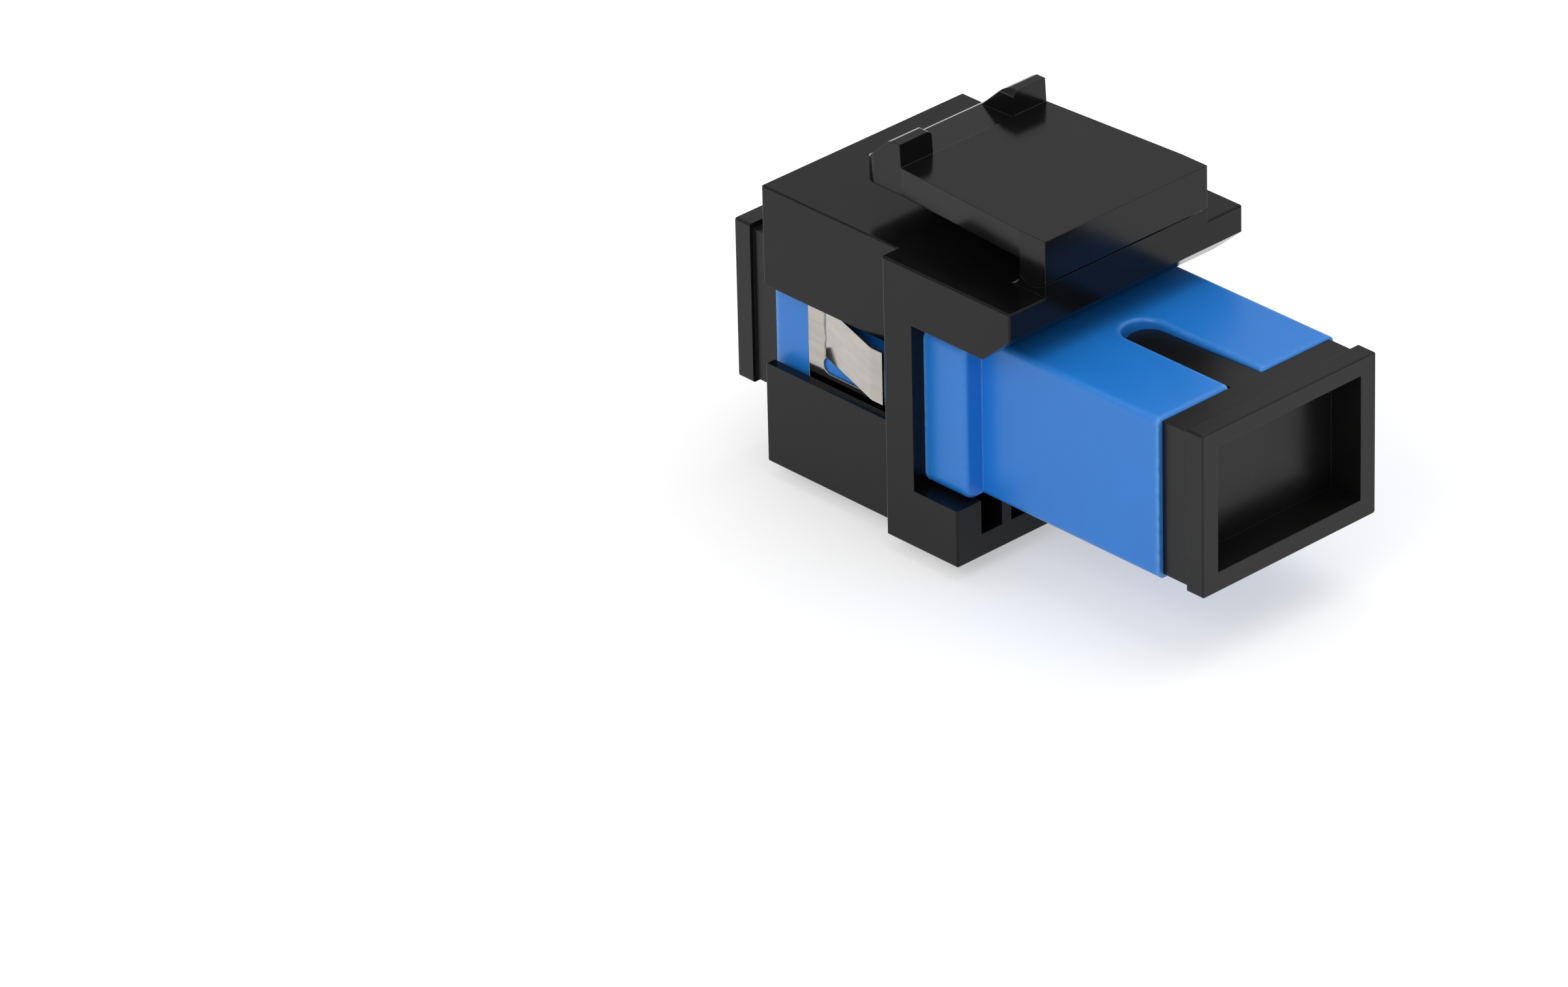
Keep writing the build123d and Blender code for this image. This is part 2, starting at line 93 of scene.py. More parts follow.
@dataclass
class NodeBench:
    """Adds nodes to one tree and joins them.

    Attributes:
        tree: The node tree being built.
    """

    tree: bpy.types.NodeTree

    def add(
        self, kind: str, inputs: dict[str | int, object] | None = None, **settings: object
    ) -> bpy.types.Node:
        """Adds a node.

        Args:
            kind: Blender's name of the node type.
            inputs: What goes into its sockets, by name or number.
            **settings: Properties to set on the new node.

        Returns:
            The new node.
        """
        node = self.tree.nodes.new(kind)
        for name, value in settings.items():
            setattr(node, name, value)
        for key, source in (inputs or {}).items():
            self.feed(node.inputs[key], source)
        return node

    def feed(self, socket: bpy.types.NodeSocket, source: object) -> None:
        """Links a socket to another one, or sets its value.

        Args:
            socket: The input socket.
            source: An output socket, or a plain value.
        """
        if isinstance(source, bpy.types.NodeSocket):
            self.tree.links.new(source, socket)
        else:
            socket.default_value = source

    def maths(self, operation: str, first: object, second: object = 0.0) -> bpy.types.NodeSocket:
        """Adds one step of arithmetic.

        Args:
            operation: Blender's name of the operation.
            first: The first value or socket.
            second: The second value or socket.

        Returns:
            The result's socket.
        """
        return self.add("ShaderNodeMath", {0: first, 1: second}, operation=operation).outputs[0]

    def remap(
        self,
        value: object,
        low: object,
        high: object,
        to_low: float = 0.0,
        to_high: float = 1.0,
    ) -> bpy.types.NodeSocket:
        """Stretches a range of values onto another one, clamped at both ends.

        Args:
            value: The value or socket to stretch.
            low: The value that becomes to_low.
            high: The value that becomes to_high.
            to_low: The lower result.
            to_high: The higher result.

        Returns:
            The result's socket.
        """
        ends = {0: value, 1: low, 2: high, 3: to_low, 4: to_high}
        return self.add("ShaderNodeMapRange", ends).outputs["Result"]

    def blend(self, share: object, first: object, second: object) -> bpy.types.NodeSocket:
        """Mixes two colours.

        Args:
            share: How much of the second colour to take, from 0 to 1.
            first: The colour or socket at share 0.
            second: The colour or socket at share 1.

        Returns:
            The mixed colour's socket.
        """
        # The mix node has sockets for every type; these are the ones for colours.
        inputs = {"Factor": share, 6: first, 7: second}
        return self.add("ShaderNodeMix", inputs, data_type="RGBA").outputs[2]

    def scale_for(self, size: object, lumps: float = 1.0) -> bpy.types.NodeSocket:
        """Turns a size into the scale of a texture.

        Args:
            size: The size's socket, in metres.
            lumps: How many lumps of the texture lie within that size.

        Returns:
            The scale's socket.
        """
        return self.maths("DIVIDE", lumps, size)

    def noise(
        self, place: object, scale: object, detail: float, **others: float
    ) -> bpy.types.NodeSocket:
        """Adds a noise texture.

        Args:
            place: The socket of coordinates.
            scale: Its scale, as a value or a socket.
            detail: How many layers of finer noise it has.
            **others: Its other inputs, in lower case.

        Returns:
            The socket of its values.
        """
        inputs = {"Vector": place, "Scale": scale, "Detail": detail}
        inputs.update({name.title(): value for name, value in others.items()})
        return self.add("ShaderNodeTexNoise", inputs).outputs["Fac"]


@dataclass
class SurfaceEffects:
    """The shader node groups that the finishes share, each built once, when it is first used.

    A size that a finish can set for itself is given here as its usual value. A range gives the
    texture's values at which a mark starts and at which it is full.

    Attributes:
        grain_size: Size of a mould's fine texture.
        cloud_size: Size of the patches where the plastic flowed.
        cloud_range: Range of those patches.
        edge_samples: How many rays look for an edge.
        edge_radius: Radius of a softened edge.
        edge_likeness: How alike the softened and the sharp normal are, off an edge and on it.
        wear_and_highlight_spacing: Distance between the breaks in an edge's handling wear and
            painted highlight.
        wear_and_highlight_range: Range of the lengths with handling wear and painted highlight.
        edge_reach: How far into the wall a rounded edge is looked for.
        edge_openness: How open the wall is inside, off a rounded edge and on it.
        highlight_break_spacing: Distance between the breaks in a rounded edge's painted highlight.
        highlight_break_range: Range of the lengths with painted highlight.
        highlight_break_least: Share of the painted highlight that is left in the breaks.
        scratch_spacing: Distance between scratches.
        scratch_turn: How the texture of the scratches is turned, in radians.
        scratch_lumps: How many lumps of noise there are to each one that makes a scratch.
        scratch_range: Range of the scratches.
        speck_size: Size of the cells that may hold a speck.
        speck_lumps: How many specks there are to that size.
        speck_range: Range of the specks, from a speck's rim inwards.
        line_spacing: Distance between rolling lines.
        streak_lumps: How many streaks there are to one line.
        streak_range: Range of the streaks.
        fold_shade_half_length: Half of the length of the painted shade line along a fold.
        fold_shade_width: Width of the painted shade line along a fold.
        fold_shade_wander: How far that line swings.
        fold_shade_scale: Scale of the noise that makes it swing.
    """

    grain_size: float = 0.12 * MM
    cloud_size: float = 4.0 * MM
    cloud_range: Range = (0.3, 0.7)
    edge_samples: int = 8
    edge_radius: float = 0.1 * MM
    edge_likeness: Range = (0.995, 0.85)
    wear_and_highlight_spacing: float = 0.6 * MM
    wear_and_highlight_range: Range = (0.4, 0.7)
    edge_reach: float = 0.4 * MM
    edge_openness: Range = (0.9, 0.6)
    highlight_break_spacing: float = 0.4 * MM
    highlight_break_range: Range = (0.3, 0.6)
    highlight_break_least: float = 0.4
    scratch_spacing: float = 2.5 * MM
    scratch_turn: Triple = (0.5, 0.3, 0.7)
    scratch_lumps: float = 8.0
    scratch_range: Range = (0.7, 0.78)
    speck_size: float = 0.35 * MM
    speck_lumps: float = 0.3
    speck_range: Range = (0.12, 0.04)
    line_spacing: float = 0.06 * MM
    streak_lumps: float = 0.12
    streak_range: Range = (0.35, 0.65)
    fold_shade_half_length: float = 1.5 * MM
    fold_shade_width: float = 0.14 * MM
    fold_shade_wander: float = 0.4 * MM
    fold_shade_scale: float = 1400.0

    def _start(
        self, name: str, takes: dict[str, float], gives: dict[str, str]
    ) -> tuple[NodeBench, bpy.types.NodeOutputs, bpy.types.NodeInputs]:
        """Opens a new group with its named sockets.

        Args:
            name: The group's name.
            takes: Number inputs and their usual values. Vector is added to them.
            gives: Outputs and the kinds of their sockets, Float or Vector.

        Returns:
            The bench, the sockets that bring the group's inputs and those that take its outputs.
        """
        tree = bpy.data.node_groups.new(name, "ShaderNodeTree")
        sockets = tree.interface
        sockets.new_socket("Vector", in_out="INPUT", socket_type="NodeSocketVector")
        for label, usual in takes.items():
            socket = sockets.new_socket(label, in_out="INPUT", socket_type="NodeSocketFloat")
            socket.default_value = usual
        for label, kind in gives.items():
            sockets.new_socket(label, in_out="OUTPUT", socket_type=f"NodeSocket{kind}")
        bench = NodeBench(tree)
        return bench, bench.add("NodeGroupInput").outputs, bench.add("NodeGroupOutput").inputs

    @cached_property
    def moulded_grain(self) -> bpy.types.NodeTree:
        """Fine eroded texture of a mould, with cloudy patches where the plastic flowed.

        Returns:
            The group, which gives Height and Clouds.
        """
        bench, takes, gives = self._start(
            "moulded_grain",
            {"Grain Size": self.grain_size, "Cloud Size": self.cloud_size},
            {"Height": "Float", "Clouds": "Float"},
        )
        place = takes["Vector"]
        fine = bench.noise(place, bench.scale_for(takes["Grain Size"]), 2.0, roughness=0.6)
        broad = bench.noise(place, bench.scale_for(takes["Cloud Size"]), 4.0, distortion=0.8)
        bench.feed(gives["Height"], fine)
        bench.feed(gives["Clouds"], bench.remap(broad, *self.cloud_range))
        return bench.tree

    @cached_property
    def edge_wear_and_highlight(self) -> bpy.types.NodeTree:
        """Softens sharp edges and finds a broken band along them, coloured as handling wear and
        painted highlight.

        Returns:
            The group, which gives the broken band along sharp edges and the softened Normal.
        """
        bench, takes, gives = self._start(
            "edge_wear_and_highlight",
            {"Edge Radius": self.edge_radius, "Breaks": self.wear_and_highlight_spacing},
            {"Wear And Highlight": "Float", "Normal": "Vector"},
        )
        soft = bench.add(
            "ShaderNodeBevel", {"Radius": takes["Edge Radius"]}, samples=self.edge_samples
        ).outputs["Normal"]
        sharp = bench.add("ShaderNodeNewGeometry").outputs["Normal"]
        likeness = bench.add("ShaderNodeVectorMath", {0: soft, 1: sharp}, operation="DOT_PRODUCT")
        edges = bench.remap(likeness.outputs["Value"], *self.edge_likeness)
        breaks = bench.noise(takes["Vector"], bench.scale_for(takes["Breaks"]), 3.0)
        worn_and_lit = bench.remap(breaks, *self.wear_and_highlight_range)
        bench.feed(gives["Wear And Highlight"], bench.maths("MULTIPLY", edges, worn_and_lit))
        bench.feed(gives["Normal"], soft)
        return bench.tree

    @cached_property
    def rounded_edges(self) -> bpy.types.NodeTree:
        """Finds rounded outer edges by how near the next outer surface lies inside the wall, for a
        painted highlight.

        Returns:
            The group, which gives Edges.
        """
        bench, takes, gives = self._start(
            "rounded_edges",
            {"Reach": self.edge_reach, "Breaks": self.highlight_break_spacing},
            {"Edges": "Float"},
        )
        near = bench.add(
            "ShaderNodeAmbientOcclusion",
            {"Distance": takes["Reach"]},
            samples=self.edge_samples,
            inside=True,
            only_local=True,
        )
        edges = bench.remap(near.outputs["AO"], *self.edge_openness)
        breaks = bench.noise(takes["Vector"], bench.scale_for(takes["Breaks"]), 3.0)
        pale = bench.remap(breaks, *self.highlight_break_range, self.highlight_break_least, 1.0)
        bench.feed(gives["Edges"], bench.maths("MULTIPLY", edges, pale))
        return bench.tree

    @cached_property
    def handling_marks(self) -> bpy.types.NodeTree:
        """Thin scratches and small dull specks from handling.

        Returns:
            The group, which gives Scratches and Specks.
        """
        bench, takes, gives = self._start(
            "handling_marks",
            {"Scratch Spacing": self.scratch_spacing, "Speck Size": self.speck_size},
            {"Scratches": "Float", "Specks": "Float"},
        )
        turned = bench.add(
            "ShaderNodeMapping",
            {
                "Vector": takes["Vector"],
                "Rotation": self.scratch_turn,
                "Scale": Stretch.SCRATCHED.value,
            },
        ).outputs["Vector"]
        spacing = bench.scale_for(takes["Scratch Spacing"], self.scratch_lumps)
        lines = bench.noise(turned, spacing, 1.0)
        bench.feed(gives["Scratches"], bench.remap(lines, *self.scratch_range))
        size = bench.scale_for(takes["Speck Size"], self.speck_lumps)
        dots = bench.add("ShaderNodeTexVoronoi", {"Vector": takes["Vector"], "Scale": size})
        bench.feed(gives["Specks"], bench.remap(dots.outputs["Distance"], *self.speck_range))
        return bench.tree

    @cached_property
    def rolled_grain(self) -> bpy.types.NodeTree:
        """Fine parallel lines left on strip metal by rolling, with broad streaks.

        Returns:
            The group, which gives Height and Streaks.
        """
        bench, takes, gives = self._start(
            "rolled_grain",
            {"Line Spacing": self.line_spacing},
            {"Height": "Float", "Streaks": "Float"},
        )
        stretched = bench.add(
            "ShaderNodeMapping", {"Vector": takes["Vector"], "Scale": Stretch.ROLLED.value}
        ).outputs["Vector"]
        spacing = takes["Line Spacing"]
        lines = bench.noise(stretched, bench.scale_for(spacing), 3.0)
        streaks = bench.noise(stretched, bench.scale_for(spacing, self.streak_lumps), 2.0)
        bench.feed(gives["Height"], lines)
        bench.feed(gives["Streaks"], bench.remap(streaks, *self.streak_range))
        return bench.tree

    @cached_property
    def fold_shade_line(self) -> bpy.types.NodeTree:
        """Ragged painted shade line along the place where a strip is folded across the optical
        axis.

        Returns:
            The group, which gives Crease.
        """
        bench, takes, gives = self._start(
            "fold_shade_line",
            {
                "Fold": 0.0,
                "Middle": 0.0,
                "Half Length": self.fold_shade_half_length,
                "Shade Width": self.fold_shade_width,
                "Wander": self.fold_shade_wander,
            },
            {"Fold Shade": "Float"},
        )
        place = bench.add("ShaderNodeSeparateXYZ", {0: takes["Vector"]}).outputs
        ragged = bench.noise(takes["Vector"], self.fold_shade_scale, 4.0)
        swing = bench.maths("MULTIPLY", ragged, takes["Wander"])
        mean_swing = bench.maths("MULTIPLY", takes["Wander"], 0.5)
        line = bench.maths("ADD", place["Y"], swing)
        aim = bench.maths("ADD", takes["Fold"], mean_swing)
        off = bench.maths("ABSOLUTE", bench.maths("SUBTRACT", line, aim))
        across = bench.remap(off, takes["Shade Width"], 0.0)
        height = bench.maths("SUBTRACT", place["Z"], takes["Middle"])
        ends = bench.maths("LESS_THAN", bench.maths("ABSOLUTE", height), takes["Half Length"])
        bench.feed(gives["Fold Shade"], bench.maths("MULTIPLY", across, ends))
        return bench.tree


@dataclass(frozen=True)
class Finish:
    """What every finish has: a name, a colour and how much light it scatters.

    Attributes:
        name: The material's name.
        colour: Linear base colour.
        roughness: Roughness where the surface is clean.
    """

    name: str
    colour: Triple
    roughness: float

    def _open(
        self,
    ) -> tuple[bpy.types.Material, NodeBench, bpy.types.NodeInputs, bpy.types.NodeSocket]:
        """Makes the material with its shader.

        Returns:
            The material, its bench, its shader's inputs and the socket of Object coordinates.
        """
        material = bpy.data.materials.new(self.name)
        material.use_nodes = True
        bench = NodeBench(material.node_tree)
        shader = material.node_tree.nodes["Principled BSDF"].inputs
        place = bench.add("ShaderNodeTexCoord").outputs["Object"]
        return material, bench, shader, place

    def _group(
        self,
        bench: NodeBench,
        tree: bpy.types.NodeTree,
        place: bpy.types.NodeSocket,
        **values: float,
    ) -> bpy.types.NodeOutputs:
        """Puts one shared effect into the material.

        Args:
            bench: The material's bench.
            tree: The effect's node group.
            place: The socket of coordinates that the effect follows.
            **values: The group's inputs, with an underscore for each space.

        Returns:
            The sockets of what the group gives.
        """
        inputs = {name.replace("_", " ").title(): value for name, value in values.items()}
        return bench.add("ShaderNodeGroup", {"Vector": place, **inputs}, node_tree=tree).outputs

    def _emboss(
        self,
        bench: NodeBench,
        shader: bpy.types.NodeInputs,
        height: bpy.types.NodeSocket,
        strength: float,
        depth: float,
        normal: bpy.types.NodeSocket | None = None,
    ) -> None:
        """Presses a relief into the surface.

        Args:
            bench: The material's bench.
            shader: The shader's inputs.
            height: The socket of the relief's height.
            strength: How much of the relief shows, from 0 to 1.
            depth: How deep it is.
            normal: The socket of a softened normal, where there is one.
        """
        inputs = {"Strength": strength, "Distance": depth, "Height": height}
        if normal is not None:
            inputs["Normal"] = normal
        bench.feed(shader["Normal"], bench.add("ShaderNodeBump", inputs).outputs["Normal"])


@dataclass(frozen=True)
class MouldedPlastic(Finish):
    """Satin injection-moulded plastic.

    Attributes:
        wear_and_highlight_colour: Colour of sharp edges, partly handling wear and partly painted
            highlight.
        dust_colour: Colour of the dust in the specks.
        grain_size: Size of the mould's texture.
        grain_depth: How deep that texture is.
        grain_strength: How much of it shows.
        edge_radius: Radius that the mould leaves on an edge.
        sharp_wear_and_highlight: How far a sharp edge goes towards that colour.
        rounded_edge_highlight: How far a rounded edge goes towards that colour, as a painted
            highlight.
        cloud: How much the patches change colour and roughness.
        cloud_lift: Least change of colour in a patch.
        marks: How much scratches and specks show.
        dust: How far a speck goes towards the dust's colour, as a share of the marks.
        gloss: Specular level of the shader, where 0.5 is plain plastic.
    """

    wear_and_highlight_colour: Triple = (0.09, 0.09, 0.09)
    dust_colour: Triple = (0.35, 0.35, 0.34)
    grain_size: float = 0.12 * MM
    grain_depth: float = 0.001 * MM
    grain_strength: float = 0.6
    edge_radius: float = 0.03 * MM
    sharp_wear_and_highlight: float = 0.25
    rounded_edge_highlight: float = 0.0
    cloud: float = 0.12
    cloud_lift: float = 0.001
    marks: float = 0.05
    dust: float = 0.25
    gloss: float = 0.5

    def material(self, effects: SurfaceEffects) -> bpy.types.Material:
        """Builds the material.

        Args:
            effects: The shared node groups.

        Returns:
            The finished material.
        """
        material, bench, shader, place = self._open()
        shader["Specular IOR Level"].default_value = self.gloss
        grain = self._group(bench, effects.moulded_grain, place, grain_size=self.grain_size)
        edge_band = self._group(bench, effects.edge_wear_and_highlight, place, edge_radius=self.edge_radius)
        marks = self._group(bench, effects.handling_marks, place)

        clean = (*self.colour, 1.0)
        wear_and_highlight_tint = (*self.wear_and_highlight_colour, 1.0)
        lifted = (min(1.0, c * (1.0 + self.cloud) + self.cloud_lift) for c in self.colour)
        clouded = bench.blend(grain["Clouds"], clean, (*lifted, 1.0))
        # Sharp edges go towards a paler colour: partly handling wear, partly painted highlight.
        worn_and_lit = bench.blend(bench.maths("MULTIPLY", edge_band["Wear And Highlight"], self.sharp_wear_and_highlight), clouded, wear_and_highlight_tint)
        # Painted highlight: rounded edges go towards the same paler colour.
        if self.rounded_edge_highlight > 0.0:
            edges = self._group(bench, effects.rounded_edges, place)["Edges"]
            worn_and_lit = bench.blend(bench.maths("MULTIPLY", edges, self.rounded_edge_highlight), worn_and_lit, wear_and_highlight_tint)
        dust = bench.maths("MULTIPLY", marks["Specks"], self.marks * self.dust)
        bench.feed(shader["Base Color"], bench.blend(dust, worn_and_lit, (*self.dust_colour, 1.0)))

        spread = self.roughness * self.cloud
        cloudy = bench.remap(
            grain["Clouds"], 0.0, 1.0, self.roughness - spread, self.roughness + spread
        )
        scratched = bench.maths("MULTIPLY", marks["Scratches"], self.marks)
        bench.feed(shader["Roughness"], bench.maths("ADD", cloudy, scratched))
        self._emboss(
            bench, shader, grain["Height"], self.grain_strength, self.grain_depth, edge_band["Normal"]
        )
        return material


@dataclass(frozen=True)
class SpringSteel(Finish):
    """Rolled stainless strip, with a painted shade line where it was folded.

    Attributes:
        streak_colour: Colour of the duller streaks.
        fold_shade_colour: Colour of the painted shade line along the fold.
        line_spacing: Distance between rolling lines.
        line_depth: How deep those lines are.
        line_strength: How much of them shows.
        streak_roughness: How much rougher a streak is.
        edge_radius: Radius of a sheared edge.
        fold: Where the fold lies along the optical axis.
        fold_middle: How far the middle of the fold lies above that axis.
        fold_half_length: Half of the fold's length up and down.
        blotch_size: Size of the blotches.
        blotches: How far the blotches go towards the streak colour.
    """

    streak_colour: Triple = (0.42, 0.39, 0.36)
    fold_shade_colour: Triple = (0.13, 0.12, 0.11)
    line_spacing: float = 0.06 * MM
    line_depth: float = 0.002 * MM
    line_strength: float = 0.35
    streak_roughness: float = 0.04
    edge_radius: float = 0.05 * MM
    fold: float = -10.2 * MM
    fold_middle: float = 0.35 * MM
    fold_half_length: float = 1.95 * MM
    blotch_size: float = 0.9 * MM
    blotches: float = 0.5

    def material(self, effects: SurfaceEffects) -> bpy.types.Material:
        """Builds the material.

        Args:
            effects: The shared node groups.

        Returns:
            The finished material.
        """
        material, bench, shader, place = self._open()
        shader["Metallic"].default_value = 1.0
        grain = self._group(bench, effects.rolled_grain, place, line_spacing=self.line_spacing)
        edge_band = self._group(bench, effects.edge_wear_and_highlight, place, edge_radius=self.edge_radius)
        fold = self._group(
            bench,
            effects.fold_shade_line,
            place,
            fold=self.fold,
            middle=self.fold_middle,
            half_length=self.fold_half_length,
        )
        blotch = self._group(bench, effects.moulded_grain, place, cloud_size=self.blotch_size)

        dull = (*self.streak_colour, 1.0)
        streaky = bench.blend(grain["Streaks"], (*self.colour, 1.0), dull)
        blotted = bench.maths("MULTIPLY", blotch["Clouds"], self.blotches)
        blotchy = bench.blend(blotted, streaky, dull)
        # Painted shade: a dark line along the fold.
        fold_shaded = bench.blend(fold["Fold Shade"], blotchy, (*self.fold_shade_colour, 1.0))
        bench.feed(shader["Base Color"], fold_shaded)
        rough = self.roughness + self.streak_roughness
        bench.feed(
            shader["Roughness"], bench.remap(grain["Streaks"], 0.0, 1.0, self.roughness, rough)
        )
        self._emboss(
            bench, shader, grain["Height"], self.line_strength, self.line_depth, edge_band["Normal"]
        )
        return material


@dataclass(frozen=True)
class GroundCeramic(Finish):
    """White zirconia with the fine rings of a ground surface.

    Attributes:
        ring_spacing: Distance between grinding rings along the axis.
        wave_length: About how long a wave of the texture is at scale 1.
        ring_swirl: How far the rings bend.
        ring_depth: How deep they are.
        ring_strength: How much of them shows.
        ring_roughness: How much rougher a ring is.
        shade: Brightness of the darker patches.
    """

    ring_spacing: float = 0.15 * MM
    wave_length: float = 0.3
    ring_swirl: float = 0.6
    ring_depth: float = 0.002 * MM
    ring_strength: float = 0.2
    ring_roughness: float = 0.1
    shade: float = 0.94

    def material(self, effects: SurfaceEffects) -> bpy.types.Material:
        """Builds the material.

        Args:
            effects: The shared node groups.

        Returns:
            The finished material.
        """
        material, bench, shader, place = self._open()
        grain = self._group(bench, effects.moulded_grain, place, grain_size=self.ring_spacing)
        shaded = (*(c * self.shade for c in self.colour), 1.0)
        clouded = bench.blend(grain["Clouds"], (*self.colour, 1.0), shaded)
        bench.feed(shader["Base Color"], clouded)
        rings = bench.add(
            "ShaderNodeTexWave",
            {
                "Vector": place,
                "Scale": self.wave_length / self.ring_spacing,
                "Distortion": self.ring_swirl,
            },
            wave_type="BANDS",
            bands_direction="Y",
        ).outputs["Fac"]
        rough = self.roughness + self.ring_roughness
        bench.feed(shader["Roughness"], bench.remap(rings, 0.0, 1.0, self.roughness, rough))
        self._emboss(bench, shader, rings, self.ring_strength, self.ring_depth)
        return material


@dataclass
class Finishes:
    """Every material of the adapter, built once.

    Attributes:
        effects: The shared node groups.
        frame_black: The keystone frame's.
        lever_black: The latch lever's.
        cap_black: The dust caps'.
        housing_blue: The two housings'.
        insert_natural: The latch inserts'.
        clip_steel: The spring clip's.
        zirconia: The alignment sleeve's.
        flash_crumb: The flash crumbs'.
    """

    effects: SurfaceEffects
    frame_black: bpy.types.Material = field(init=False)
    lever_black: bpy.types.Material = field(init=False)
    cap_black: bpy.types.Material = field(init=False)
    housing_blue: bpy.types.Material = field(init=False)
    insert_natural: bpy.types.Material = field(init=False)
    clip_steel: bpy.types.Material = field(init=False)
    zirconia: bpy.types.Material = field(init=False)
    flash_crumb: bpy.types.Material = field(init=False)

    def __post_init__(self) -> None:
        """Builds the materials."""
        self.frame_black = MouldedPlastic(
            name="frame_black",
            colour=(0.0036, 0.0035, 0.0035),
            roughness=0.17,
            cloud=0.08,
            gloss=0.23,
        ).material(self.effects)
        self.lever_black = MouldedPlastic(
            name="lever_black",
            colour=(0.0038, 0.0037, 0.0037),
            roughness=0.17,
            cloud=0.08,
            gloss=0.28,
            edge_radius=0.06 * MM,
        ).material(self.effects)
        self.cap_black = MouldedPlastic(
            name="cap_black",
            colour=(0.006, 0.0058, 0.0056),
            roughness=0.3,
            grain_size=0.16 * MM,
            grain_depth=0.003 * MM,
            sharp_wear_and_highlight=0.5,
            gloss=0.28,
        ).material(self.effects)
        # The paler blue along the edges is painted highlight, with some handling wear on the sharp
        # ones.
        self.housing_blue = MouldedPlastic(
            name="housing_blue",
            colour=(0.015, 0.21, 0.7),
            roughness=0.34,
            wear_and_highlight_colour=(0.14, 0.4, 0.88),
            sharp_wear_and_highlight=0.6,
            rounded_edge_highlight=0.75,
            cloud=0.06,
            marks=0.06,
            grain_depth=0.0022 * MM,
            edge_radius=0.14 * MM,
        ).material(self.effects)
        self.insert_natural = MouldedPlastic(
            name="insert_natural",
            colour=(0.66, 0.66, 0.61),
            roughness=0.38,
            wear_and_highlight_colour=(0.74, 0.74, 0.7),
            cloud=0.04,
        ).material(self.effects)
        self.clip_steel = SpringSteel(
            name="spring_steel", colour=(0.49, 0.455, 0.42), roughness=0.07
        ).material(self.effects)
        self.zirconia = GroundCeramic(
            name="zirconia", colour=(0.84, 0.83, 0.78), roughness=0.22
        ).material(self.effects)
        self.flash_crumb = MouldedPlastic(
            name="flash_crumb",
            colour=(0.16, 0.16, 0.155),
            roughness=0.55,
            cloud=0.3,
            grain_size=0.04 * MM,
        ).material(self.effects)


def dress_node(node: str, material: bpy.types.Material) -> None:
    """Gives a carried-over solid its material.

    Args:
        node: The node's name.
        material: The material for its whole surface.
    """
    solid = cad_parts[node]
    solid.data.materials.clear()
    solid.data.materials.append(material)
    log.info("dressed %s with %s", node, material.name)


